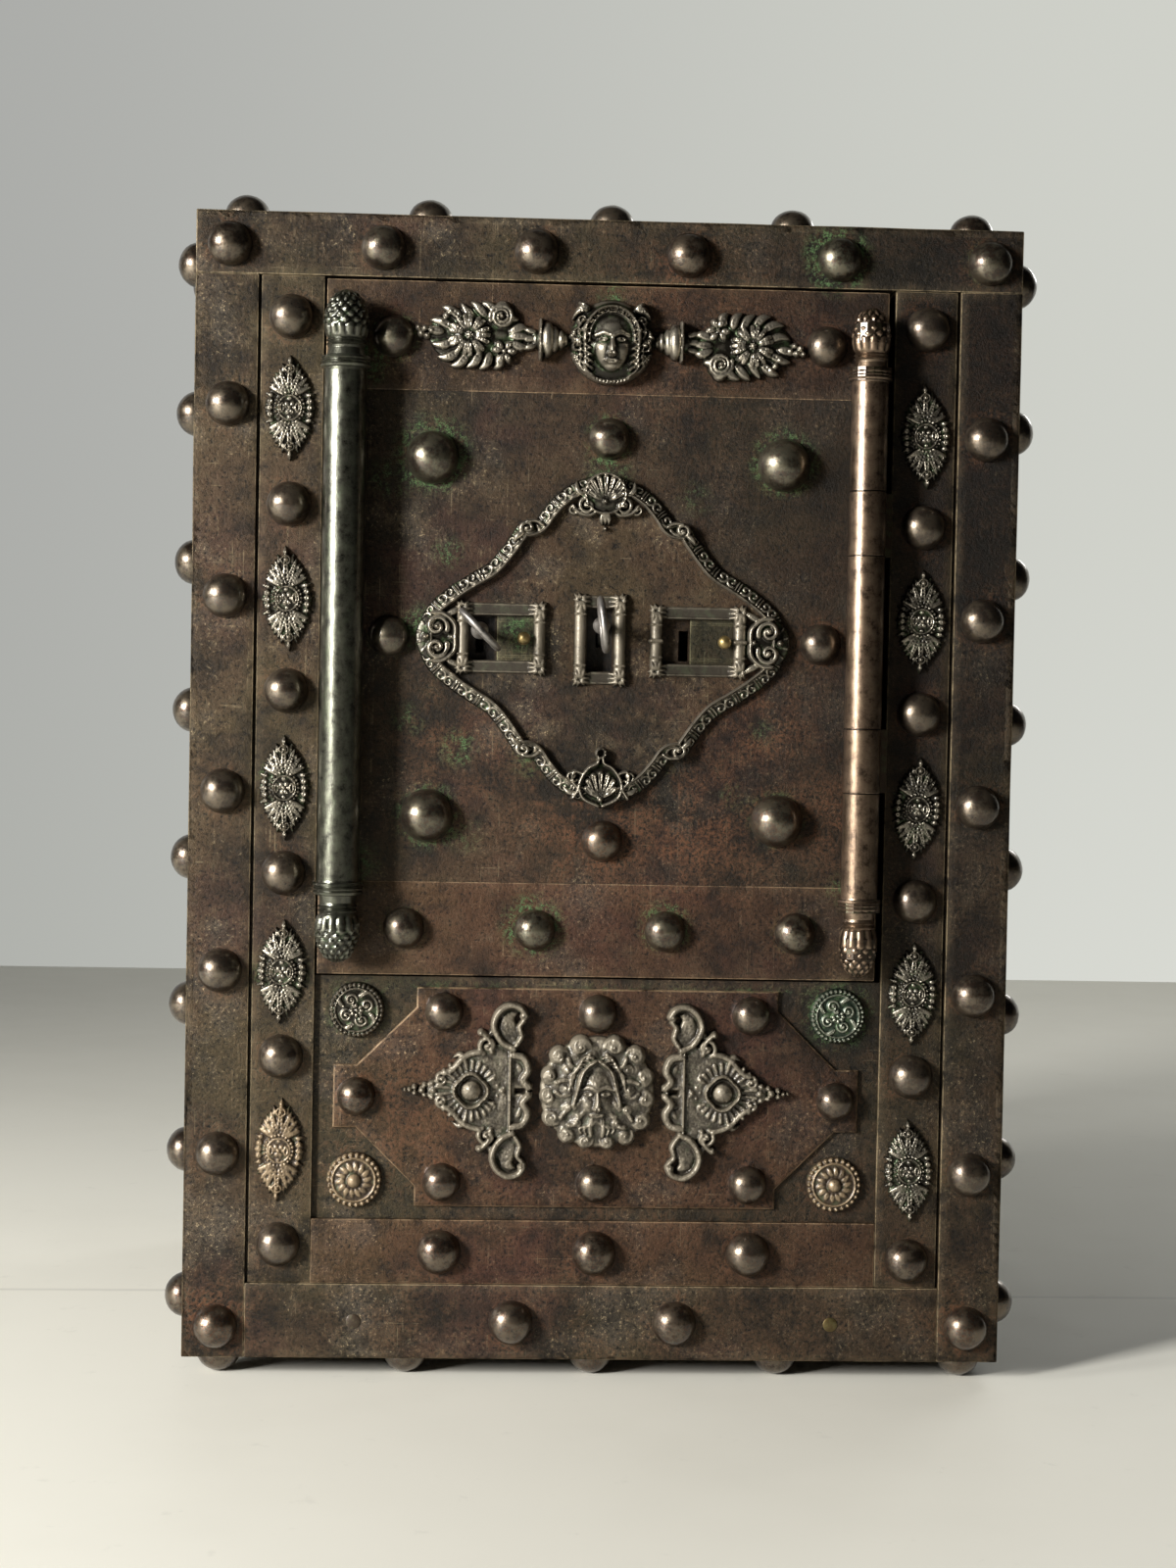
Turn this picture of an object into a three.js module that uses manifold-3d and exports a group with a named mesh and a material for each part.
// A studded iron strongbox: a plate box bound with riveted angle irons, and a door that swings
// on a turned hinge column. Lengths are in millimetres, +Z is up, the front faces -Y, and the
// origin is on the floor under the middle.

import * as THREE from "three";
import { mergeVertices } from "three/addons/utils/BufferGeometryUtils.js";
import Module from "manifold-3d";

const wasm = await Module();
wasm.setup();

// The plate box and what binds its edges
const bodyWidth = 570;
const bodyHeight = 790;
const bodyDepth = 480;
const angleThickness = 6;
const angleWidth = 43;
const wallThickness = 8;
const innerStileWidth = 45;
const innerStrapThickness = 4;
const bottomRailHeight = 52;
const lowerRailHeight = 45;
const frameDepth = 50;
const seam = 0.3;
const cutOverrun = 2;

// Studs: hollow-forged caps over the rivets
const studRadius = 15.5;
const studHeight = 14;
const studSeat = 3;
const smallStudRadius = 13.5;
const smallStudHeight = 12;
const mediumStudRadius = 14.4;
const mediumStudHeight = 13;
const largeStudRadius = 18.5;
const largeStudHeight = 18;
const plugRadius = 5;
const plugHeight = 0.8;
const studSides = 8;
const roundSides = 16;
const bossRings = 8;

// Rows of studs on the box
const topRailStudInset = 23;
const topRailStudCount = 6;
const sideStudLow = 39;
const sideStudTopInset = 35;
const sideStudCount = 8;
const roofStudInset = 33;
const floorStudInset = 24;
const acrossStudCount = 5;
const depthStudSpacing = 125;
const depthStudCount = 3;
const leftStileStudShares = [0.0275, 0.1797, 0.3406, 0.4972, 0.6671, 0.8331];
const rightStileStudShares = [0.0305, 0.1678, 0.3271, 0.4938, 0.6582, 0.8172];
const leftInnerStudShares = [0.1, 0.2654, 0.4265, 0.5858, 0.7478, 0.9098];
const rightInnerStudShares = [0.0901, 0.2541, 0.4097, 0.5752, 0.7392, 0.9123];
const leftLozengeShares = [0.1834, 0.3401, 0.5008, 0.6654, 0.8305];
const rightLozengeShares = [0.1706, 0.3281, 0.4916, 0.6567, 0.8187];
const bottomStudSpacing = 114;
const plugInset = 75.5;

// Lozenge rosettes on the inner stiles
const lozengeWidth = 37;
const lozengeHeight = 72;
const lozengeThickness = 6;

// Lower front: plate, octagon with its ornaments, round rosettes
const octagonSideMargin = 14;
const octagonLowMargin = 9;
const octagonHighMargin = 7;
const octagonShoulderWidth = 16;
const octagonArmShare = 0.6885;
const octagonArmRise = 14;
const octagonShoulderHalfHeight = 22;
const octagonThickness = 3;
const octagonStudShare = 0.5847;
const octagonStudDrop = 17;
const rosetteShare = 0.255;
const rosetteThickness = 9;
const rosetteInset = 15.5;
const rosetteLowRise = 18;
const rosetteHighDrop = 16.5;
const maskWidth = 83;
const maskThickness = 16;
const maskLift = 5.5;
const maskGap = 0.5;
const escutcheonThickness = 7;
const escutcheonInner = 46;
const escutcheonStudGap = 17.5;
const escutcheonMargin = 10;
const escutcheonBossRadius = 12;
const escutcheonBossHeight = 11;
const escutcheonBossShare = 0.467;
const lowerRailStudSpacing = 108;

// Door
const sillHeight = 266;
const doorGap = 1.5;
const doorStrapThickness = 4;
const doorSlabThickness = 8;
const doorTopRailHeight = 75;
const doorBottomRailHeight = 65;
const doorRecess = 2;
const hingeLeafThickness = 3;
const stopLipWidth = 7;
const stopLipDepth = 7;
const stopLipHingeGap = 17;
const doorStudInset = 47.5;
const doorBottomStudInset = 61;
const doorBottomStudCount = 4;
const largeStudInset = 75.5;
const largeStudDrop = 45.7;
const middleStudDrop = 30;

// Hinge column on the right
const barrelInset = 19;
const barrelRadius = 12.6;
const barrelClearance = 0.8;
const pinRadius = 4;
const pinClearance = 0.4;
const barrelLowReach = 6.5;
const barrelHighReach = 11.5;
const knuckleLength = 44;
const lowerKnuckleShare = 0.2676;
const upperKnuckleShare = 0.7261;
const knuckleGap = 0.5;
const pinEndReach = 40;
const finialHeight = 51;
const finialDepth = 55;
const leafDepth = 34;
const leafWebThickness = 5;
const doorWebHalfWidth = 5;

// Column on the left of the door
const columnInset = 16;
const columnRadius = 14.6;
const columnStandoff = 2;
const columnHighReach = 11.5;
const columnFinialHeight = 54;
const columnFinialDepth = 56;
const postHalfWidth = 4;
const postHalfHeight = 5;
const collarRise = 9;
const collarReach = 2;
const neckShare = 0.62;
const budShare = 1.02;

// Top ornament on the door's upper rail
const ornamentDrop = 38.5;
const sprayInner = 57;
const sprayStudGap = 1.1;
const sprayHalfHeight = 23;
const sprayThickness = 11;
const necklaceHalfHeight = 7;
const necklaceThickness = 7;
const ringHalfHeight = 13;
const ringThickness = 10;
const ringX = 42;
const ringHalfWidth = 6;
const headWidth = 58;
const headHeight = 59;
const headThickness = 22;

// Cartouche and its three key windows
const cartoucheX = -2;
const cartoucheStudGap = 7.1;
const cartoucheMargin = 55.5;
const cartoucheFieldThickness = 4;
const cartoucheRimThickness = 9;
const cartoucheRimWidth = 11;
const shellRadius = 15;
const shellHeight = 11;
const windowFrameWidth = 9.5;
const windowFrameHeight = 7;
const windowLip = 2;
const leftWindowShare = -0.5484;
const leftWindowWidthShare = 0.336;
const leftWindowHeight = 30;
const centreWindowShare = -0.0156;
const centreWindowWidthShare = 0.1367;
const centreWindowHeight = 43;
const rightWindowShare = 0.5133;
const rightWindowWidthShare = 0.375;
const rightWindowHeight = 30;
const coverThickness = 3;
const coverTravel = 17;
const coverKnobRadius = 4.7;
const coverKnobNeck = 2;
const coverKnobStand = 8;
const coverKnobInset = 6;
const slotWidth = 6.8;
const slotHeight = 21;
const slotInset = 14.3;
const slotDrop = 3;

// Lock inside the door
const caseLeftInset = 15;
const caseRightInset = 67;
const caseDrop = 83.5;
const caseRise = 88.5;
const caseDepth = 42;
const caseWall = 3;
const caseCoverThickness = 4;
const boltTravel = 26;
const boltHeight = 22;
const boltDepth = 18;
const boltFront = 25;
const boltHeadInset = 12.5;
const boltBarInset = 47;
const boltBarWidth = 12;
const boltBarEnd = 10;
const boltSpacing = 58;
const boltLift = 2.5;
const boltClearance = 0.5;
const tailThickness = 6;
const tailLift = 18.5;
const tailHeight = 14;
const tailRight = 12;
const blockX = -28;
const blockWidth = 8;
const blockRise = 9;
const blockGap = 2;
const notchClearance = 1;

// Keys
const keyShankRadius = 4;
const keyClearance = 0.5;
const keyCollarRadius = 6;
const keyBowHalfWidth = 19.5;
const keyBowHalfLength = 16;
const keyBowWall = 6;
const keyBowThickness = 5;
const keyCollarStand = 24;
const keyBowStand = 42;
const keyBitReach = 14;
const keyBitThickness = 4.5;
const keyBitFront = 20;
const keyBitLength = 13;
const keyTip = 3;
const leftKeyInset = 6.7;
const leftKeyLift = 4.5;
const leftKeyTurn = THREE.MathUtils.degToRad(-45);
const centreKeyLift = 9.5;
const centreKeyTurn = THREE.MathUtils.degToRad(-7);

// Inside
const shelfZ = 470;
const shelfThickness = 6;
const shelfSetback = 70;
const cleatHeight = 12;
const cleatWidth = 12;
const cleatInset = 24;
const wallSeam = 0.3;

// Places that follow from the sizes above
const halfWidth = bodyWidth / 2;
const innerEdge = halfWidth - angleWidth;
const doorwayHalfWidth = innerEdge - innerStileWidth;
const doorwayTop = bodyHeight - angleWidth;
const shellHalfWidth = halfWidth - angleThickness;
const roomHalfWidth = shellHalfWidth - wallThickness;
const shellBack = bodyDepth - angleThickness;
const roomBack = shellBack - wallThickness;
const roomLow = angleThickness + wallThickness;
const roomHigh = bodyHeight - roomLow;
const frameBack = angleThickness + frameDepth;
const innerFront = angleThickness - innerStrapThickness;
const lowerRailTop = bottomRailHeight + lowerRailHeight;
const doorFront = doorRecess;
const slabFront = doorFront + doorStrapThickness;
const slabBack = slabFront + doorSlabThickness;
const doorLeft = -doorwayHalfWidth + doorGap;
const doorRight = doorwayHalfWidth - hingeLeafThickness - doorGap;
const doorLow = sillHeight + doorGap;
const doorHigh = doorwayTop - doorGap;
const panelLow = doorLow + doorBottomRailHeight;
const panelHigh = doorHigh - doorTopRailHeight;
const panelHalfHeight = (panelHigh - panelLow) / 2;

const topRailStudSpacing = (bodyWidth - 2 * topRailStudInset) / (topRailStudCount - 1);
const roofStudSpacing = (bodyWidth - 2 * roofStudInset) / (acrossStudCount - 1);
const floorStudSpacing = (bodyWidth - 2 * floorStudInset) / (acrossStudCount - 1);
const sideStudSpacing = (bodyHeight - sideStudLow - sideStudTopInset) / (sideStudCount - 1);
const plugSpacing = 2 * (innerEdge - plugInset);

const octagonHalfWidth = doorwayHalfWidth - octagonSideMargin;
const octagonShoulderHalfWidth = octagonHalfWidth - octagonShoulderWidth;
const octagonArmHalfWidth = octagonArmShare * octagonHalfWidth;
const octagonLow = lowerRailTop + octagonLowMargin;
const octagonHigh = sillHeight - octagonHighMargin;
const octagonMiddle = (octagonLow + octagonHigh) / 2;
const octagonStudX = octagonStudShare * octagonHalfWidth;
const octagonStudZ = (octagonHigh - octagonLow) / 2 - octagonStudDrop;
const rosetteX = octagonHalfWidth - rosetteInset;
const rosetteRadius = rosetteShare * (octagonHigh - octagonMiddle);
const rosetteLow = octagonLow + rosetteLowRise;
const rosetteHigh = octagonHigh - rosetteHighDrop;
const maskZ = octagonMiddle + maskLift;
const maskHeight = 2 * (octagonStudZ - smallStudRadius - maskGap - maskLift);
const escutcheonOuter = octagonShoulderHalfWidth - smallStudRadius - escutcheonStudGap;
const escutcheonHalfHeight = octagonHigh - maskZ - escutcheonMargin;
const escutcheonBossX =
  escutcheonInner + escutcheonBossShare * (escutcheonOuter - escutcheonInner);

const doorStudX = doorwayHalfWidth - doorStudInset;
const largeStudX = doorwayHalfWidth - largeStudInset;
const largeStudRise = panelHalfHeight - largeStudDrop;
const middleStudRise = panelHalfHeight - middleStudDrop;
const doorBottomStudSpacing =
  (2 * (doorwayHalfWidth - doorBottomStudInset)) / (doorBottomStudCount - 1);
const doorBottomStudZ = doorLow + doorBottomRailHeight / 2;
const ornamentZ = doorHigh - ornamentDrop;
const sprayOuter = doorStudX - mediumStudRadius - sprayStudGap;

const barrelX = doorwayHalfWidth - barrelInset;
const barrelLow = panelLow - barrelLowReach;
const barrelHigh = panelHigh + barrelHighReach;
const lowerKnuckleLow = knucklePlace(lowerKnuckleShare) - knuckleLength / 2;
const lowerKnuckleHigh = knucklePlace(lowerKnuckleShare) + knuckleLength / 2;
const upperKnuckleLow = knucklePlace(upperKnuckleShare) - knuckleLength / 2;
const upperKnuckleHigh = knucklePlace(upperKnuckleShare) + knuckleLength / 2;
const columnX = columnInset - doorwayHalfWidth;
const columnHigh = panelHigh + columnHighReach;

const cartoucheZ = panelLow + panelHalfHeight;
const cartoucheHalfWidth = doorStudX - mediumStudRadius - cartoucheStudGap;
const cartoucheHalfHeight = panelHalfHeight - cartoucheMargin;
const leftWindowX = cartoucheX + leftWindowShare * cartoucheHalfWidth;
const leftWindowWidth = leftWindowWidthShare * cartoucheHalfWidth;
const centreWindowX = cartoucheX + centreWindowShare * cartoucheHalfWidth;
const centreWindowWidth = centreWindowWidthShare * cartoucheHalfWidth;
const rightWindowX = cartoucheX + rightWindowShare * cartoucheHalfWidth;
const rightWindowWidth = rightWindowWidthShare * cartoucheHalfWidth;
const slotX = rightWindowX - rightWindowWidth / 2 + slotInset;
const slotZ = cartoucheZ - slotDrop;

const caseLeft = caseLeftInset - doorwayHalfWidth;
const caseRight = doorwayHalfWidth - caseRightInset;
const caseLow = cartoucheZ - caseDrop;
const caseHigh = cartoucheZ + caseRise;
const boltHead = boltHeadInset - doorwayHalfWidth;
const boltBarLeft = boltBarInset - doorwayHalfWidth;
const boltZ = [-1, 0, 1].map((place) => cartoucheZ + boltLift + place * boltSpacing);
const tailLow = cartoucheZ + tailLift;
const blockTop = tailLow - blockGap;
const leftKeyX = leftWindowX - leftWindowWidth / 2 + leftKeyInset;
const leftKeyZ = cartoucheZ + leftKeyLift;
const centreKeyX = centreWindowX;
const centreKeyZ = cartoucheZ + centreKeyLift;

const barrelY = doorFront - barrelClearance - collarReach - barrelRadius;
const columnY = doorFront - columnStandoff - columnRadius;
const caseBack = slabBack + caseDepth;
const keyReach = keyBowStand + keyBowHalfLength;

function knucklePlace(share) {
  return barrelLow + share * (barrelHigh - barrelLow);
}

// Materials
const iron = metal(0x3b302a, 0.55, 0.75);
const darkIron = metal(0x2c2723, 0.6, 0.75);
const redIron = metal(0x44302a, 0.55, 0.75);
const castIron = metal(0x4a453c, 0.6, 0.7);
const greenBrass = metal(0x5d6254, 0.5, 0.85);
const bronze = metal(0x7a5843, 0.42, 0.9);
const brass = metal(0x8a744a, 0.4, 0.9);
const steel = metal(0x6d6a66, 0.4, 0.9);

function metal(color, roughness, metalness) {
  return new THREE.MeshStandardMaterial({ color, roughness, metalness });
}

// Solids: geometries become closed bodies that can be joined and cut

function solid(geometry) {
  geometry.deleteAttribute("normal");
  geometry.deleteAttribute("uv");
  const merged = mergeVertices(geometry);
  return new wasm.Manifold(
    new wasm.Mesh({
      numProp: 3,
      vertProperties: merged.attributes.position.array,
      triVerts: new Uint32Array(merged.index.array),
    }),
  );
}

function block(x, y, z) {
  const box = new THREE.BoxGeometry(x[1] - x[0], y[1] - y[0], z[1] - z[0]);
  box.translate((x[0] + x[1]) / 2, (y[0] + y[1]) / 2, (z[0] + z[1]) / 2);
  return solid(box);
}

function join(pieces) {
  return pieces.reduce((whole, piece) => whole.add(piece));
}

function cut(whole, tools) {
  return tools.reduce((rest, tool) => rest.subtract(tool), whole);
}

function part(name, shape, material) {
  const { vertProperties, triVerts } = shape.getMesh();
  const geometry = new THREE.BufferGeometry();
  geometry.setAttribute("position", new THREE.BufferAttribute(vertProperties, 3));
  geometry.setIndex(new THREE.BufferAttribute(triVerts, 1));
  geometry.computeVertexNormals();
  const mesh = new THREE.Mesh(geometry, material);
  mesh.name = name;
  return mesh;
}

// A geometry built round +Y is turned to point along a direction and moved to its place.
function pointed(geometry, place, direction) {
  const turn = new THREE.Quaternion().setFromUnitVectors(
    new THREE.Vector3(0, 1, 0),
    direction,
  );
  geometry.applyQuaternion(turn);
  geometry.translate(place.x, place.y, place.z);
  return solid(geometry);
}

const front = new THREE.Vector3(0, -1, 0);
const back = new THREE.Vector3(0, 1, 0);
const up = new THREE.Vector3(0, 0, 1);
const down = new THREE.Vector3(0, 0, -1);

function outwards(side) {
  return new THREE.Vector3(side, 0, 0);
}

function at(x, y, z) {
  return new THREE.Vector3(x, y, z);
}

// A domed cap whose rim lies on the face at its place and whose seat is sunk into it.
const domeRimShare = 0.72;
const domeRiseShare = 0.72;

function stud(place, direction, radius = studRadius, height = studHeight) {
  const profile = [
    new THREE.Vector2(0, -studSeat),
    new THREE.Vector2(radius, -studSeat),
    new THREE.Vector2(radius, 0),
    new THREE.Vector2(radius * domeRimShare, height * domeRiseShare),
    new THREE.Vector2(0, height),
  ];
  return pointed(new THREE.LatheGeometry(profile, studSides), place, direction);
}

// A cap worn flat on its crown, where the box stands on it.
const wornShare = 0.42;

function footStud(place) {
  const profile = [
    new THREE.Vector2(0, -studSeat),
    new THREE.Vector2(studRadius, -studSeat),
    new THREE.Vector2(studRadius, 0),
    new THREE.Vector2(studRadius * domeRimShare, studHeight * domeRiseShare),
    new THREE.Vector2(studRadius * wornShare, studHeight),
    new THREE.Vector2(0, studHeight),
  ];
  return pointed(new THREE.LatheGeometry(profile, studSides), place, down);
}

function plug(place, direction) {
  const seat = new THREE.CylinderGeometry(plugRadius, plugRadius, studSeat + plugHeight, studSides);
  seat.translate(0, (plugHeight - studSeat) / 2, 0);
  return pointed(seat, place, direction);
}

function cylinder(place, direction, radius, length, sides = roundSides) {
  const rod = new THREE.CylinderGeometry(radius, radius, length, sides);
  rod.translate(0, length / 2, 0);
  return pointed(rod, place, direction);
}

function turned(profile, place, direction = up, sides = roundSides) {
  const points = profile.map(([radius, height]) => new THREE.Vector2(radius, height));
  return pointed(new THREE.LatheGeometry(points, sides), place, direction);
}

// An outline drawn as seen from the front, standing out from the face at depth y.
function relief(points, y, thickness) {
  const outline = new THREE.Shape(points.map(([x, z]) => new THREE.Vector2(x, z)));
  const plate = new THREE.ExtrudeGeometry(outline, {
    depth: thickness,
    bevelEnabled: false,
  });
  plate.rotateX(Math.PI / 2);
  plate.translate(0, y, 0);
  return solid(plate);
}

// Half of an ellipsoid standing out from the face at depth y.
function boss(x, y, z, width, height, thickness, sides = roundSides) {
  const whole = new THREE.SphereGeometry(1, sides, bossRings);
  whole.scale(width / 2, thickness, height / 2);
  whole.translate(x, y, z);
  const behind = block(
    [x - width, x + width],
    [y, y + thickness + cutOverrun],
    [z - height, z + height],
  );
  return cut(solid(whole), [behind]);
}

function mirroredX(points) {
  return points.map(([x, z]) => [-x, z]).reverse();
}

function row(count, spacing) {
  return Array.from({ length: count }, (_, i) => (i - (count - 1) / 2) * spacing);
}

// Plates of the box

function sideWall(side) {
  const x = [side * roomHalfWidth, side * shellHalfWidth].sort((a, b) => a - b);
  return block(x, [angleThickness, shellBack], [angleThickness, bodyHeight - angleThickness]);
}

function roofPlate() {
  return block(
    [-roomHalfWidth, roomHalfWidth],
    [angleThickness, roomBack],
    [roomHigh, bodyHeight - angleThickness],
  );
}

function floorPlate() {
  return block(
    [-roomHalfWidth, roomHalfWidth],
    [angleThickness, roomBack],
    [angleThickness, roomLow],
  );
}

function backWall() {
  return block(
    [-roomHalfWidth, roomHalfWidth],
    [roomBack, shellBack],
    [angleThickness, bodyHeight - angleThickness],
  );
}

// Angle irons along the twelve edges

function standingAngle(side, studShares) {
  const across = (near, far) => [side * near, side * far].sort((a, b) => a - b);
  const legs = [
    block(across(innerEdge, halfWidth), [0, angleThickness], [0, doorwayTop]),
    block(across(shellHalfWidth, halfWidth), [0, angleWidth], [0, doorwayTop]),
    block(
      across(shellHalfWidth, halfWidth),
      [angleThickness, angleWidth],
      [0, bodyHeight - angleThickness],
    ),
  ];
  const stileX = side * (halfWidth - topRailStudInset);
  const frontStuds = studShares.map((share) => stud(at(stileX, 0, share * bodyHeight), front));
  const sideStuds = Array.from({ length: sideStudCount }, (_, i) =>
    stud(
      at(side * halfWidth, angleWidth / 2, sideStudLow + i * sideStudSpacing),
      outwards(side),
    ),
  );
  return join([...legs, ...frontStuds, ...sideStuds]);
}

function topAngle() {
  const legs = [
    block([-halfWidth, halfWidth], [0, angleThickness], [doorwayTop, bodyHeight]),
    block([-halfWidth, halfWidth], [0, angleWidth], [bodyHeight - angleThickness, bodyHeight]),
  ];
  const railZ = bodyHeight - topRailStudInset;
  const frontStuds = row(topRailStudCount, topRailStudSpacing).map((x) =>
    stud(at(x, 0, railZ), front),
  );
  const roofStuds = row(acrossStudCount, roofStudSpacing).map((x) =>
    stud(at(x, angleWidth / 2, bodyHeight), up),
  );
  return join([...legs, ...frontStuds, ...roofStuds]);
}

function bottomAngle(plugged) {
  const legs = [
    block([-innerEdge, innerEdge], [0, angleThickness], [0, bottomRailHeight]),
    block([-innerEdge, innerEdge], [0, angleWidth], [0, angleThickness]),
  ];
  const railZ = bottomRailHeight / 2;
  const frontStuds = row(2, bottomStudSpacing).map((x) => stud(at(x, 0, railZ), front));
  const outerCaps = row(2, plugSpacing).map((x) =>
    plugged ? plug(at(x, 0, railZ), front) : stud(at(x, 0, railZ), front),
  );
  const feet = row(acrossStudCount, floorStudSpacing)
    .slice(1, -1)
    .map((x) => footStud(at(x, angleWidth / 2, 0)));
  return join([...legs, ...frontStuds, ...outerCaps, ...feet]);
}

function roofSideAngle() {
  const along = [angleWidth, bodyDepth - angleWidth];
  const legs = [
    block([-halfWidth, -shellHalfWidth], along, [doorwayTop, bodyHeight]),
    block([-halfWidth, -innerEdge], along, [bodyHeight - angleThickness, bodyHeight]),
  ];
  const sideZ = bodyHeight - sideStudTopInset;
  const studs = row(depthStudCount, depthStudSpacing).flatMap((offset) => {
    const y = bodyDepth / 2 + offset;
    return [
      stud(at(-halfWidth, y, sideZ), outwards(-1)),
      stud(at(roofStudInset - halfWidth, y, bodyHeight), up),
    ];
  });
  return join([...legs, ...studs]);
}

function floorSideAngle() {
  const between = [angleWidth, bodyDepth - angleWidth];
  const legs = [
    block([-halfWidth, -shellHalfWidth], between, [0, angleWidth]),
    block([-halfWidth, -innerEdge], between, [0, angleThickness]),
    block([-shellHalfWidth, -innerEdge], [angleThickness, shellBack], [0, angleThickness]),
  ];
  const footX = floorStudInset - halfWidth;
  const corners = [angleWidth / 2 + seam, bodyDepth - angleWidth / 2 - seam];
  const feet = corners.map((y) => footStud(at(footX, y, 0)));
  const studs = row(depthStudCount, depthStudSpacing).flatMap((offset) => {
    const y = bodyDepth / 2 + offset;
    return [
      stud(at(-halfWidth, y, angleWidth / 2), outwards(-1)),
      footStud(at(footX, y, 0)),
    ];
  });
  return join([...legs, ...feet, ...studs]);
}

// Straps, jambs and plates of the front

function lozenge(x, z) {
  const waist = lozengeHeight / 4;
  const half = lozengeWidth / 2;
  const point = lozengeHeight / 2;
  const outline = [
    [x, z - point],
    [x + half, z - waist / 2],
    [x + half, z + waist / 2],
    [x, z + point],
    [x - half, z + waist / 2],
    [x - half, z - waist / 2],
  ];
  return relief(outline, innerFront + cutOverrun, lozengeThickness + cutOverrun);
}

function innerStile(side, studShares, lozengeShares) {
  const x = [side * doorwayHalfWidth, side * innerEdge].sort((a, b) => a - b);
  const middle = (x[0] + x[1]) / 2;
  const strap = block(x, [innerFront, angleThickness], [bottomRailHeight, doorwayTop]);
  const studs = studShares.map((share) => stud(at(middle, innerFront, share * bodyHeight), front));
  const rosettes = lozengeShares.map((share) => lozenge(middle, share * bodyHeight));
  return join([strap, ...studs, ...rosettes]);
}

function lowerRail() {
  const strap = block(
    [-doorwayHalfWidth, doorwayHalfWidth],
    [innerFront, angleThickness],
    [bottomRailHeight, lowerRailTop],
  );
  const railZ = bottomRailHeight + lowerRailHeight / 2;
  const studs = row(3, lowerRailStudSpacing).map((x) => stud(at(x, innerFront, railZ), front));
  return join([strap, ...studs]);
}

function lowerFrontPlate() {
  return block(
    [-roomHalfWidth, roomHalfWidth],
    [angleThickness, angleThickness + wallThickness],
    [roomLow, sillHeight],
  );
}

function jamb(side) {
  const across = (near, far) => [side * near, side * far].sort((a, b) => a - b);
  return block(
    across(doorwayHalfWidth, roomHalfWidth),
    [angleThickness + wallThickness, frameBack],
    [roomLow, roomHigh],
  ).add(
    block(
      across(doorwayHalfWidth, roomHalfWidth),
      [angleThickness, angleThickness + wallThickness + cutOverrun],
      [sillHeight, roomHigh],
    ),
  );
}

// The left jamb has the lip that the door shuts against, and a mortise for each bolt.
function strikeJamb() {
  const lip = block(
    [-doorwayHalfWidth - cutOverrun, stopLipWidth - doorwayHalfWidth],
    [slabBack + seam, slabBack + seam + stopLipDepth],
    [sillHeight, doorwayTop],
  );
  const mortiseReach = boltHead - boltTravel - 2 * cutOverrun;
  const mortises = boltZ.map((z) =>
    block(
      [mortiseReach, cutOverrun - doorwayHalfWidth],
      [boltFront - notchClearance, boltFront + boltDepth + notchClearance],
      [z - boltHeight / 2 - notchClearance, z + boltHeight / 2 + notchClearance],
    ),
  );
  return cut(jamb(-1).add(lip), mortises);
}

function doorHead() {
  const beam = block(
    [-doorwayHalfWidth, doorwayHalfWidth],
    [angleThickness, frameBack],
    [doorwayTop, roomHigh],
  );
  const lip = block(
    [stopLipWidth - doorwayHalfWidth, barrelX - stopLipHingeGap],
    [slabBack + seam, slabBack + seam + stopLipDepth],
    [doorwayTop - stopLipWidth, doorwayTop + cutOverrun],
  );
  return beam.add(lip);
}

function doorSill() {
  const beam = block(
    [-doorwayHalfWidth, doorwayHalfWidth],
    [angleThickness + wallThickness, frameBack],
    [sillHeight - stopLipWidth * 2, sillHeight],
  );
  const lip = block(
    [stopLipWidth - doorwayHalfWidth, barrelX - stopLipHingeGap],
    [slabBack + seam, slabBack + seam + stopLipDepth],
    [sillHeight - cutOverrun, sillHeight + stopLipWidth],
  );
  return beam.add(lip);
}

function octagonPlate() {
  const middle = octagonMiddle;
  const quarter = [
    [octagonHalfWidth, middle + octagonShoulderHalfHeight],
    [octagonShoulderHalfWidth, middle + octagonShoulderHalfHeight],
    [octagonArmHalfWidth, octagonHigh - octagonArmRise],
    [octagonArmHalfWidth, octagonHigh],
  ];
  const upper = [...quarter, ...mirroredX(quarter)];
  const lower = upper.map(([x, z]) => [x, 2 * middle - z]).reverse();
  const plate = relief([...upper, ...lower], angleThickness, octagonThickness);
  const face = angleThickness - octagonThickness;
  const spots = [
    ...[-1, 0, 1].flatMap((i) => [
      [i * octagonStudX, middle + octagonStudZ],
      [i * octagonStudX, middle - octagonStudZ],
    ]),
    [-octagonShoulderHalfWidth, middle],
    [octagonShoulderHalfWidth, middle],
  ];
  const studs = spots.map(([x, z]) =>
    stud(at(x, face, z), front, smallStudRadius, smallStudHeight),
  );
  return join([plate, ...studs]);
}

function roundRosette(x, z) {
  const crown = rosetteThickness;
  const rim = rosetteThickness / 3;
  const hub = rosetteRadius / 3;
  const profile = [
    [0, 0],
    [rosetteRadius, 0],
    [rosetteRadius, rim],
    [hub, crown],
    [0, crown],
  ];
  return turned(profile, at(x, angleThickness, z), front);
}

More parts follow.
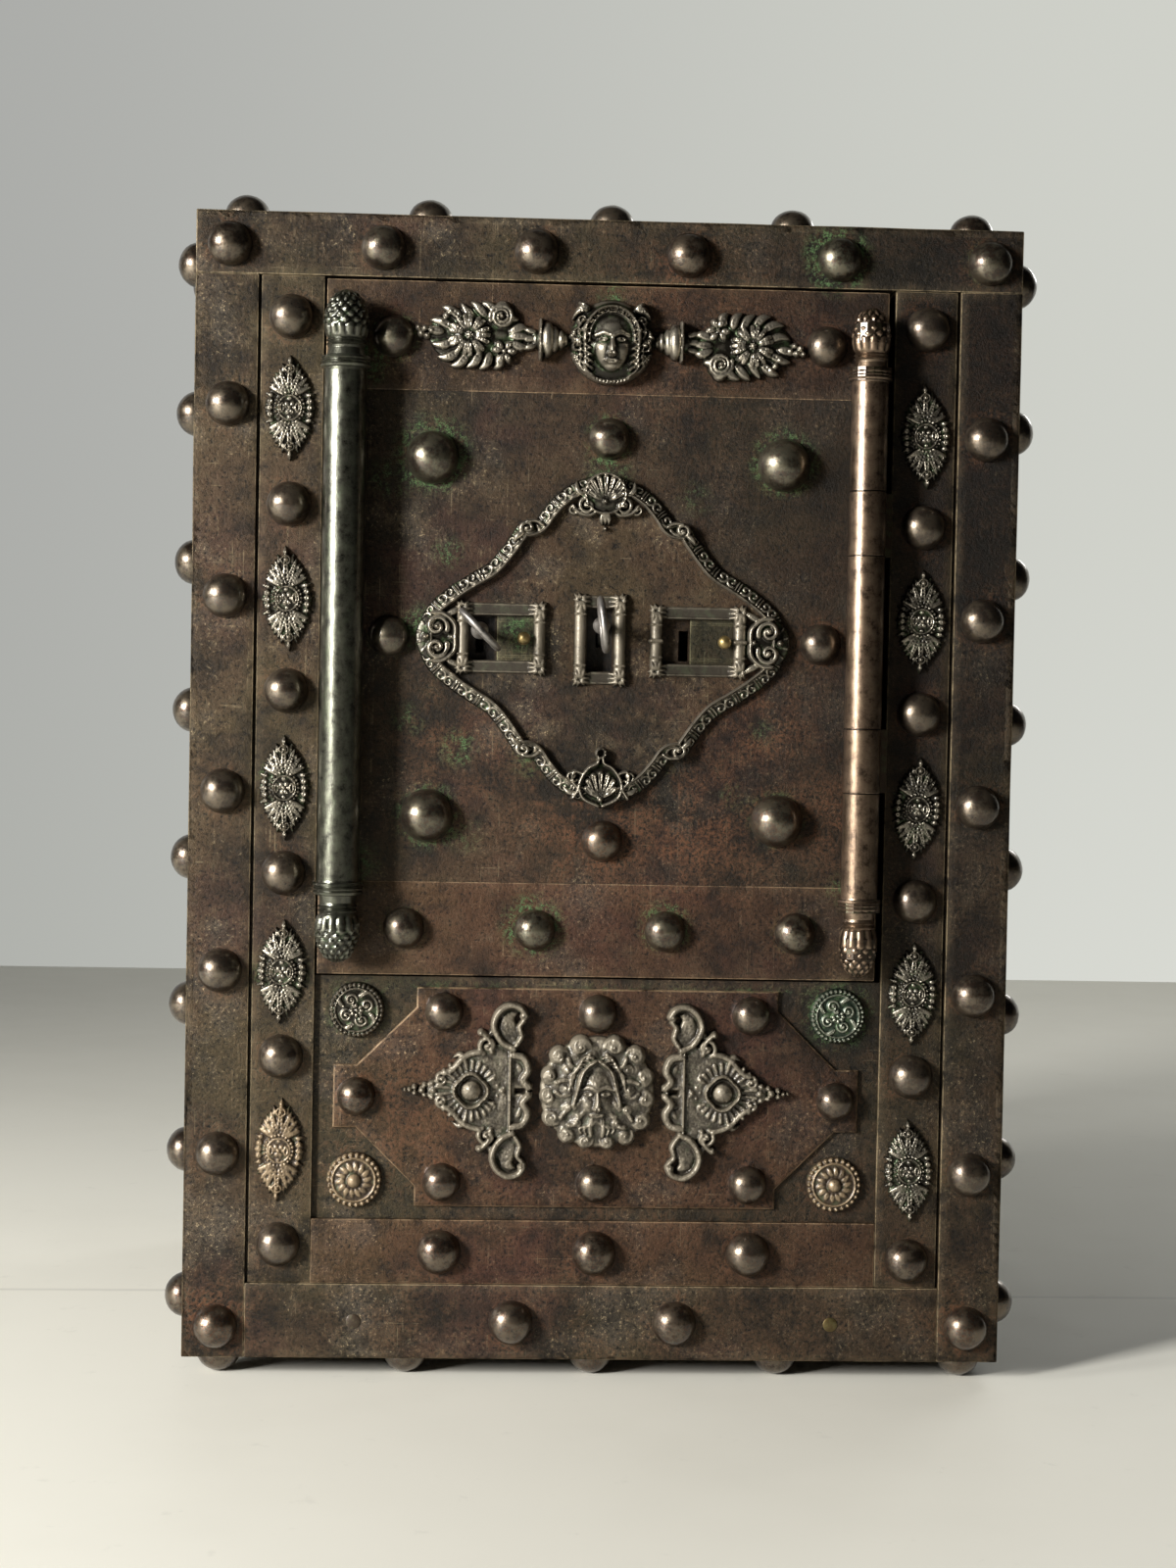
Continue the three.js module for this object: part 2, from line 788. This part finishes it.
function escutcheon(side) {
  const face = angleThickness - octagonThickness;
  const spine = escutcheonInner + escutcheonBossRadius;
  const half = escutcheonHalfHeight;
  const points = [
    [escutcheonInner, maskZ],
    [spine - escutcheonBossRadius / 2, maskZ - half * (2 / 3)],
    [spine - escutcheonBossRadius / 2, maskZ - half],
    [spine + escutcheonBossRadius / 2, maskZ - half],
    [spine + escutcheonBossRadius, maskZ - half / 2],
    [escutcheonBossX + escutcheonBossRadius, maskZ - half / 3],
    [escutcheonOuter, maskZ],
    [escutcheonBossX + escutcheonBossRadius, maskZ + half / 3],
    [spine + escutcheonBossRadius, maskZ + half / 2],
    [spine + escutcheonBossRadius / 2, maskZ + half],
    [spine - escutcheonBossRadius / 2, maskZ + half],
    [spine - escutcheonBossRadius / 2, maskZ + half * (2 / 3)],
  ];
  const outline = side > 0 ? points : mirroredX(points);
  const plate = relief(outline, face, escutcheonThickness);
  const flower = boss(
    side * escutcheonBossX,
    face,
    maskZ,
    escutcheonBossRadius * 2,
    escutcheonBossRadius * 2,
    escutcheonBossHeight,
    studSides,
  );
  return plate.add(flower);
}

function curlMask() {
  const face = angleThickness - octagonThickness;
  const wreath = boss(0, face, maskZ, maskWidth, maskHeight, maskThickness / 2);
  const features = boss(0, face, maskZ, maskWidth / 2, maskHeight * (2 / 3), maskThickness);
  return wreath.add(features);
}

// Door plates

function doorSlab() {
  const slab = block([doorLeft, doorRight], [slabFront, slabBack], [doorLow, doorHigh]);
  return cut(slab, keyholes());
}

function keyhole(x, z) {
  const shaft = cylinder(
    at(x, doorFront - cutOverrun, z),
    back,
    keyShankRadius + keyClearance,
    caseDepth,
  );
  const slotHalf = keyBitThickness / 2 + keyClearance;
  const slot = block(
    [x - slotHalf, x + slotHalf],
    [doorFront - cutOverrun, doorFront + caseDepth],
    [z - keyBitReach - keyClearance, z],
  );
  return shaft.add(slot);
}

function plainSlot() {
  return block(
    [slotX - slotWidth / 2, slotX + slotWidth / 2],
    [doorFront - cutOverrun, doorFront + caseDepth],
    [slotZ - slotHeight / 2, slotZ + slotHeight / 2],
  );
}

function keyholes() {
  return [keyhole(leftKeyX, leftKeyZ), keyhole(centreKeyX, centreKeyZ), plainSlot()];
}

function windowPocket(x, width, height, left, right) {
  return block(
    [x - width / 2 + left, x + width / 2 - right],
    [doorFront - cutOverrun, slabFront + cutOverrun],
    [cartoucheZ - height / 2, cartoucheZ + height / 2],
  );
}

function doorPanel() {
  const panel = block([doorLeft, doorRight], [doorFront, slabFront], [panelLow, panelHigh]);
  const coverWidth = leftWindowWidth - coverTravel;
  const pockets = [
    windowPocket(leftWindowX, leftWindowWidth, leftWindowHeight, 0, coverWidth),
    windowPocket(centreWindowX, centreWindowWidth, centreWindowHeight, 0, 0),
    plainSlot(),
  ];
  const large = [-1, 1].flatMap((i) =>
    [-1, 1].map((k) =>
      stud(
        at(i * largeStudX, doorFront, cartoucheZ + k * largeStudRise),
        front,
        largeStudRadius,
        largeStudHeight,
      ),
    ),
  );
  const spots = [
    [-doorStudX, cartoucheZ],
    [doorStudX, cartoucheZ],
    [0, cartoucheZ + middleStudRise],
    [0, cartoucheZ - middleStudRise],
  ];
  const medium = spots.map(([x, z]) =>
    stud(at(x, doorFront, z), front, mediumStudRadius, mediumStudHeight),
  );
  return join([cut(panel, pockets), ...large, ...medium]);
}

function doorTopRail() {
  const strap = block([doorLeft, doorRight], [doorFront, slabFront], [panelHigh, doorHigh]);
  const studs = [-1, 1].map((i) =>
    stud(at(i * doorStudX, doorFront, ornamentZ), front, mediumStudRadius, mediumStudHeight),
  );
  return join([strap, ...studs]);
}

function doorBottomRail() {
  const strap = block([doorLeft, doorRight], [doorFront, slabFront], [doorLow, panelLow]);
  const studs = row(doorBottomStudCount, doorBottomStudSpacing).map((x) =>
    stud(at(x, doorFront, doorBottomStudZ), front, mediumStudRadius, mediumStudHeight),
  );
  return join([strap, ...studs]);
}

// Ornament of the upper rail: a head between two turned rings and two sprays

const sprayShares = [
  [0, 0.2],
  [0.18, 0.85],
  [0.45, 1],
  [0.7, 0.6],
  [1, 0],
];

function spray(side) {
  const upper = sprayShares.map(([along, rise]) => [
    sprayInner + along * (sprayOuter - sprayInner),
    ornamentZ + rise * sprayHalfHeight,
  ]);
  const lower = upper.slice(0, -1).map(([x, z]) => [x, 2 * ornamentZ - z]);
  const points = [...lower, ...upper.reverse()];
  const outline = side > 0 ? points : mirroredX(points);
  const leaf = relief(outline, doorFront, sprayThickness / 2);
  const middle = (sprayInner + sprayOuter) / 2;
  const length = (sprayOuter - sprayInner) / 2;
  const flower = boss(
    side * middle,
    doorFront,
    ornamentZ,
    length,
    sprayHalfHeight,
    sprayThickness,
    studSides,
  );
  return leaf.add(flower);
}

function topOrnament() {
  const necklace = block(
    [-sprayInner - cutOverrun, sprayInner + cutOverrun],
    [doorFront - necklaceThickness, doorFront],
    [ornamentZ - necklaceHalfHeight, ornamentZ + necklaceHalfHeight],
  );
  const rings = [-1, 1].map((side) =>
    block(
      [side * ringX - ringHalfWidth, side * ringX + ringHalfWidth],
      [doorFront - ringThickness, doorFront],
      [ornamentZ - ringHalfHeight, ornamentZ + ringHalfHeight],
    ),
  );
  const head = boss(0, doorFront, ornamentZ, headWidth, headHeight, headThickness);
  return join([necklace, ...rings, head, spray(-1), spray(1)]);
}

// Cartouche: a wavy lozenge with a raised rim, a shell at each point, and holes for the windows

const cartoucheQuarterShares = [
  [1, 0.07],
  [0.945, 0.2],
  [0.74, 0.39],
  [0.59, 0.49],
  [0.464, 0.69],
  [0.37, 0.705],
  [0.273, 0.85],
  [0.1, 0.97],
];

function cartoucheOutline(inset) {
  const width = cartoucheHalfWidth - inset;
  const height = cartoucheHalfHeight - inset;
  const quarter = cartoucheQuarterShares.map(([across, rise]) => [across * width, rise * height]);
  const upper = [...quarter, ...mirroredX(quarter)];
  const lower = upper.map(([x, z]) => [x, -z]).reverse();
  return [...upper, ...lower].map(([x, z]) => [cartoucheX + x, cartoucheZ + z]);
}

function cartouche() {
  const field = relief(cartoucheOutline(0), doorFront, cartoucheFieldThickness);
  const rim = cut(relief(cartoucheOutline(0), doorFront, cartoucheRimThickness), [
    relief(
      cartoucheOutline(cartoucheRimWidth),
      doorFront + cutOverrun,
      cartoucheRimThickness + 2 * cutOverrun,
    ),
  ]);
  const tips = [
    [-cartoucheHalfWidth + shellRadius, 0],
    [cartoucheHalfWidth - shellRadius, 0],
    [0, cartoucheHalfHeight - shellRadius],
    [0, shellRadius - cartoucheHalfHeight],
  ];
  const shells = tips.map(([x, z]) =>
    boss(
      cartoucheX + x,
      doorFront,
      cartoucheZ + z,
      shellRadius * 2,
      shellRadius * 2,
      shellHeight,
      studSides,
    ),
  );
  return cut(join([field, rim, ...shells]), [...windowHoles(), ...frameSeats()]);
}

function windowHole(x, width, height) {
  return block(
    [x - width / 2 - windowLip, x + width / 2 + windowLip],
    [doorFront - cartoucheFieldThickness - cutOverrun, doorFront + cutOverrun],
    [cartoucheZ - height / 2 - windowLip, cartoucheZ + height / 2 + windowLip],
  );
}

function windowHoles() {
  return [
    windowHole(leftWindowX, leftWindowWidth, leftWindowHeight),
    windowHole(centreWindowX, centreWindowWidth, centreWindowHeight),
    windowHole(rightWindowX, rightWindowWidth, rightWindowHeight),
  ];
}

// The rim and shells are cut away where a window frame stands on the field.
function frameSeat(x, width, height) {
  const face = doorFront - cartoucheFieldThickness;
  return block(
    [x - width / 2 - windowFrameWidth - seam, x + width / 2 + windowFrameWidth + seam],
    [face - shellHeight - cutOverrun, face],
    [
      cartoucheZ - height / 2 - windowFrameWidth - seam,
      cartoucheZ + height / 2 + windowFrameWidth + seam,
    ],
  );
}

function frameSeats() {
  return [
    frameSeat(leftWindowX, leftWindowWidth, leftWindowHeight),
    frameSeat(centreWindowX, centreWindowWidth, centreWindowHeight),
    frameSeat(rightWindowX, rightWindowWidth, rightWindowHeight),
  ];
}

function windowFrame(x, width, height) {
  const face = doorFront - cartoucheFieldThickness;
  const ring = block(
    [x - width / 2 - windowFrameWidth, x + width / 2 + windowFrameWidth],
    [face - windowFrameHeight, face],
    [cartoucheZ - height / 2 - windowFrameWidth, cartoucheZ + height / 2 + windowFrameWidth],
  );
  const opening = block(
    [x - width / 2, x + width / 2],
    [face - windowFrameHeight - cutOverrun, face + cutOverrun],
    [cartoucheZ - height / 2, cartoucheZ + height / 2],
  );
  return cut(ring, [opening]);
}

// A sliding cover in the slide behind its frame, pushed fully to the right
function keyCover(windowX, windowWidth, windowHeight) {
  const right = windowX + windowWidth / 2 + windowLip - seam;
  const left = right - (windowWidth - coverTravel);
  const rear = doorFront - seam;
  const plate = block(
    [left, right],
    [rear - coverThickness, rear],
    [
      cartoucheZ - windowHeight / 2 - windowLip + seam,
      cartoucheZ + windowHeight / 2 + windowLip - seam,
    ],
  );
  const knobX = windowX + windowWidth / 2 - coverKnobInset;
  const knob = turned(
    [
      [0, 0],
      [coverKnobNeck, 0],
      [coverKnobNeck, coverKnobStand - coverKnobRadius],
      [coverKnobRadius, coverKnobStand],
      [coverKnobNeck, coverKnobStand + coverKnobRadius],
      [0, coverKnobStand + coverKnobRadius],
    ],
    at(knobX, rear - coverThickness / 2, cartoucheZ),
    front,
    studSides,
  );
  return plate.add(knob);
}

// Hinge: three barrels on the door, two knuckles on the jamb, one pin

function barrelBore(low, high) {
  return cylinder(at(barrelX, barrelY, low), up, pinRadius + pinClearance, high - low);
}

function doorWeb(low, high) {
  return block(
    [barrelX - doorWebHalfWidth, barrelX + doorWebHalfWidth],
    [barrelY, doorFront],
    [low, high],
  );
}

function finialProfile(radius, base, tip) {
  const rise = tip - base;
  const step = Math.sign(rise) * collarRise;
  return [
    [radius + collarReach, base],
    [radius + collarReach, base + step],
    [radius * neckShare, base + step],
    [radius * neckShare, base + step * 2],
    [radius * budShare, base + step * 3],
    [radius, (base + step * 3 + tip) / 2],
    [radius * neckShare, tip - step],
    [0, tip],
  ];
}

function upperDoorBarrel() {
  const low = upperKnuckleHigh + knuckleGap;
  const profile = [
    [0, low],
    [barrelRadius, low],
    [barrelRadius, barrelHigh],
    ...finialProfile(barrelRadius, barrelHigh, barrelHigh + finialHeight),
  ];
  const shape = turned(profile, at(barrelX, barrelY, 0));
  const bore = barrelBore(low - cutOverrun, low + pinEndReach + pinClearance);
  return cut(shape.add(doorWeb(low, barrelHigh)), [bore]);
}

function middleDoorBarrel() {
  const low = lowerKnuckleHigh + knuckleGap;
  const high = upperKnuckleLow - knuckleGap;
  const shape = cylinder(at(barrelX, barrelY, low), up, barrelRadius, high - low);
  return cut(shape.add(doorWeb(low, high)), [barrelBore(low - cutOverrun, high + cutOverrun)]);
}

function lowerDoorBarrel() {
  const high = lowerKnuckleLow - knuckleGap;
  const foot = finialProfile(barrelRadius, barrelLow, barrelLow - finialDepth).reverse();
  const profile = [...foot, [barrelRadius, barrelLow], [barrelRadius, high], [0, high]];
  const shape = turned(profile, at(barrelX, barrelY, 0));
  const bore = barrelBore(high - pinEndReach - pinClearance, high + cutOverrun);
  return cut(shape.add(doorWeb(barrelLow, high)), [bore]);
}

function jambKnuckle(low, high) {
  const barrel = cylinder(at(barrelX, barrelY, low), up, barrelRadius, high - low);
  const webBack = doorFront - seam;
  const web = block(
    [barrelX, doorwayHalfWidth - seam],
    [webBack - leafWebThickness, webBack],
    [low, high],
  );
  const leaf = block(
    [doorwayHalfWidth - hingeLeafThickness, doorwayHalfWidth - seam],
    [webBack - leafWebThickness, leafDepth],
    [low, high],
  );
  return cut(join([barrel, web, leaf]), [barrelBore(low - cutOverrun, high + cutOverrun)]);
}

function hingePin() {
  const low = lowerKnuckleLow - pinEndReach;
  const high = upperKnuckleHigh + pinEndReach;
  return cylinder(at(barrelX, barrelY, low), up, pinRadius, high - low);
}

function doorColumn() {
  const foot = finialProfile(columnRadius, panelLow, panelLow - columnFinialDepth).reverse();
  const profile = [
    ...foot,
    [columnRadius, panelLow],
    [columnRadius, columnHigh],
    ...finialProfile(columnRadius, columnHigh, columnHigh + columnFinialHeight),
  ];
  const shaft = turned(profile, at(columnX, columnY, 0));
  const posts = [columnHigh, panelLow].map((z) =>
    block(
      [columnX - postHalfWidth, columnX + postHalfWidth],
      [columnY, doorFront],
      [z - postHalfHeight, z + postHalfHeight],
    ),
  );
  return join([shaft, ...posts]);
}

// Lock

function lockCase() {
  const outside = block([caseLeft, caseRight], [slabBack, caseBack], [caseLow, caseHigh]);
  const inside = block(
    [caseLeft + caseWall, caseRight - caseWall],
    [slabBack + caseWall, caseBack + cutOverrun],
    [caseLow + caseWall, caseHigh - caseWall],
  );
  const boltHoles = boltZ.map((z) =>
    block(
      [caseLeft - cutOverrun, caseLeft + caseWall + cutOverrun],
      [boltFront - boltClearance, boltFront + boltDepth + boltClearance],
      [z - boltHeight / 2 - boltClearance, z + boltHeight / 2 + boltClearance],
    ),
  );
  return cut(outside, [inside, ...boltHoles, ...keyholes()]);
}

function lockCover() {
  return block(
    [caseLeft, caseRight],
    [caseBack, caseBack + caseCoverThickness],
    [caseLow, caseHigh],
  );
}

function boltBar() {
  const barBack = caseBack - seam;
  const bar = block(
    [boltBarLeft, boltBarLeft + boltBarWidth],
    [boltFront, barBack],
    [boltZ[0] - boltHeight / 2 - boltBarEnd, boltZ[2] + boltHeight / 2 + boltBarEnd],
  );
  const bolts = boltZ.map((z) =>
    block(
      [boltHead, boltBarLeft + boltBarWidth],
      [boltFront, boltFront + boltDepth],
      [z - boltHeight / 2, z + boltHeight / 2],
    ),
  );
  const tail = block(
    [boltBarLeft, tailRight],
    [barBack - tailThickness, barBack],
    [tailLow, tailLow + tailHeight],
  );
  const notches = [0, boltTravel].map((shift) =>
    block(
      [blockX + shift - notchClearance, blockX + shift + blockWidth + notchClearance],
      [barBack - tailThickness - cutOverrun, barBack + cutOverrun],
      [tailLow - cutOverrun, blockTop + blockRise + notchClearance],
    ),
  );
  return cut(join([bar, ...bolts, tail]), notches);
}

function blockingBar() {
  const barBack = caseBack - seam;
  return block(
    [blockX, blockX + blockWidth],
    [barBack - tailThickness, barBack],
    [caseLow + caseWall + seam, blockTop],
  );
}

// A key along Y, drawn with its bit straight down and its bow upright
function key() {
  const tip = keyBitFront + keyBitLength + keyTip;
  const shank = cylinder(at(0, -keyBowStand, 0), back, keyShankRadius, keyBowStand + tip);
  const collar = turned(
    [
      [0, -keyCollarRadius],
      [keyShankRadius, -keyCollarRadius],
      [keyCollarRadius, 0],
      [keyShankRadius, keyCollarRadius],
      [0, keyCollarRadius],
    ],
    at(0, -keyCollarStand, 0),
    front,
  );
  const bit = block(
    [-keyBitThickness / 2, keyBitThickness / 2],
    [keyBitFront, keyBitFront + keyBitLength],
    [-keyBitReach, 0],
  );
  const trimmed = cut(join([shank, collar, bit]), [bowDisc(keyBowWall)]);
  return trimmed.add(cut(bowDisc(0), [bowDisc(keyBowWall)]));
}

function bowDisc(inset) {
  const disc = new THREE.CylinderGeometry(1, 1, keyBowThickness + inset, roundSides);
  disc.rotateZ(Math.PI / 2);
  disc.scale(1, keyBowHalfLength - inset, keyBowHalfWidth - inset);
  disc.translate(0, -keyBowStand, 0);
  return solid(disc);
}

function placedKey(name, x, z, turn) {
  const mesh = part(name, key(), steel);
  mesh.position.set(x, 0, z);
  mesh.rotation.y = turn;
  return mesh;
}

// Inside of the box

function shelf() {
  return block(
    [wallSeam - roomHalfWidth, roomHalfWidth - wallSeam],
    [shelfSetback, roomBack - wallSeam],
    [shelfZ, shelfZ + shelfThickness],
  );
}

function shelfCleat(side) {
  const x = [side * (roomHalfWidth - cleatWidth), side * roomHalfWidth].sort((a, b) => a - b);
  return block(x, [shelfSetback + cleatInset, roomBack - cleatInset], [shelfZ - cleatHeight, shelfZ]);
}

// Assembly: the rear pieces are the front ones turned round the middle of the box

function turnedRound(...meshes) {
  const group = new THREE.Group();
  group.rotation.z = Math.PI;
  group.position.y = bodyDepth;
  group.add(...meshes);
  return group;
}

const box = new THREE.Group();
box.add(
  part("left_wall", sideWall(-1), darkIron),
  part("right_wall", sideWall(1), darkIron),
  part("roof_plate", roofPlate(), darkIron),
  part("floor_plate", floorPlate(), darkIron),
  part("back_wall", backWall(), darkIron),
  part("front_left_angle", standingAngle(-1, leftStileStudShares), iron),
  part("front_right_angle", standingAngle(1, rightStileStudShares), iron),
  part("top_front_angle", topAngle(), iron),
  part("bottom_front_angle", bottomAngle(true), iron),
  part("top_left_angle", roofSideAngle(), iron),
  part("bottom_left_angle", floorSideAngle(), iron),
  turnedRound(
    part("rear_right_angle", standingAngle(-1, leftStileStudShares), iron),
    part("rear_left_angle", standingAngle(1, rightStileStudShares), iron),
    part("top_rear_angle", topAngle(), iron),
    part("bottom_rear_angle", bottomAngle(false), iron),
    part("top_right_angle", roofSideAngle(), iron),
    part("bottom_right_angle", floorSideAngle(), iron),
  ),
  part("left_inner_stile", innerStile(-1, leftInnerStudShares, leftLozengeShares), iron),
  part("right_inner_stile", innerStile(1, rightInnerStudShares, rightLozengeShares), iron),
  part("lower_rail", lowerRail(), redIron),
  part("lower_front_plate", lowerFrontPlate(), darkIron),
  part("left_jamb", strikeJamb(), darkIron),
  part("right_jamb", jamb(1), darkIron),
  part("door_head", doorHead(), darkIron),
  part("door_sill", doorSill(), darkIron),
  part("octagon_plate", octagonPlate(), redIron),
  part("lower_left_rosette", roundRosette(-rosetteX, rosetteLow), brass),
  part("lower_right_rosette", roundRosette(rosetteX, rosetteLow), brass),
  part("upper_left_rosette", roundRosette(-rosetteX, rosetteHigh), castIron),
  part("upper_right_rosette", roundRosette(rosetteX, rosetteHigh), castIron),
  part("left_escutcheon", escutcheon(-1), castIron),
  part("right_escutcheon", escutcheon(1), castIron),
  part("curl_mask", curlMask(), castIron),
  part("shelf", shelf(), darkIron),
  part("left_shelf_cleat", shelfCleat(-1), darkIron),
  part("right_shelf_cleat", shelfCleat(1), darkIron),
  part("upper_jamb_knuckle", jambKnuckle(upperKnuckleLow, upperKnuckleHigh), bronze),
  part("lower_jamb_knuckle", jambKnuckle(lowerKnuckleLow, lowerKnuckleHigh), bronze),
  part("hinge_pin", hingePin(), steel),
);

const door = new THREE.Group();
door.add(
  part("door_slab", doorSlab(), darkIron),
  part("door_panel", doorPanel(), iron),
  part("door_top_rail", doorTopRail(), redIron),
  part("door_bottom_rail", doorBottomRail(), redIron),
  part("top_ornament", topOrnament(), castIron),
  part("cartouche", cartouche(), castIron),
  part("left_window_frame", windowFrame(leftWindowX, leftWindowWidth, leftWindowHeight), castIron),
  part(
    "centre_window_frame",
    windowFrame(centreWindowX, centreWindowWidth, centreWindowHeight),
    castIron,
  ),
  part(
    "right_window_frame",
    windowFrame(rightWindowX, rightWindowWidth, rightWindowHeight),
    castIron,
  ),
  part("left_key_cover", keyCover(leftWindowX, leftWindowWidth, leftWindowHeight), greenBrass),
  part("right_key_cover", keyCover(rightWindowX, rightWindowWidth, rightWindowHeight), greenBrass),
  part("door_column", doorColumn(), greenBrass),
  part("upper_door_barrel", upperDoorBarrel(), bronze),
  part("middle_door_barrel", middleDoorBarrel(), bronze),
  part("lower_door_barrel", lowerDoorBarrel(), bronze),
  part("lock_case", lockCase(), darkIron),
  part("lock_cover", lockCover(), darkIron),
  part("bolt_bar", boltBar(), steel),
  part("blocking_bar", blockingBar(), steel),
  placedKey("left_key", leftKeyX, leftKeyZ, leftKeyTurn),
  placedKey("centre_key", centreKeyX, centreKeyZ, centreKeyTurn),
);

const strongbox = new THREE.Group();
strongbox.add(box, door);
for (const half of [box, door]) {
  half.position.set(0, (keyReach - studHeight - bodyDepth) / 2, studHeight);
}

export default strongbox;
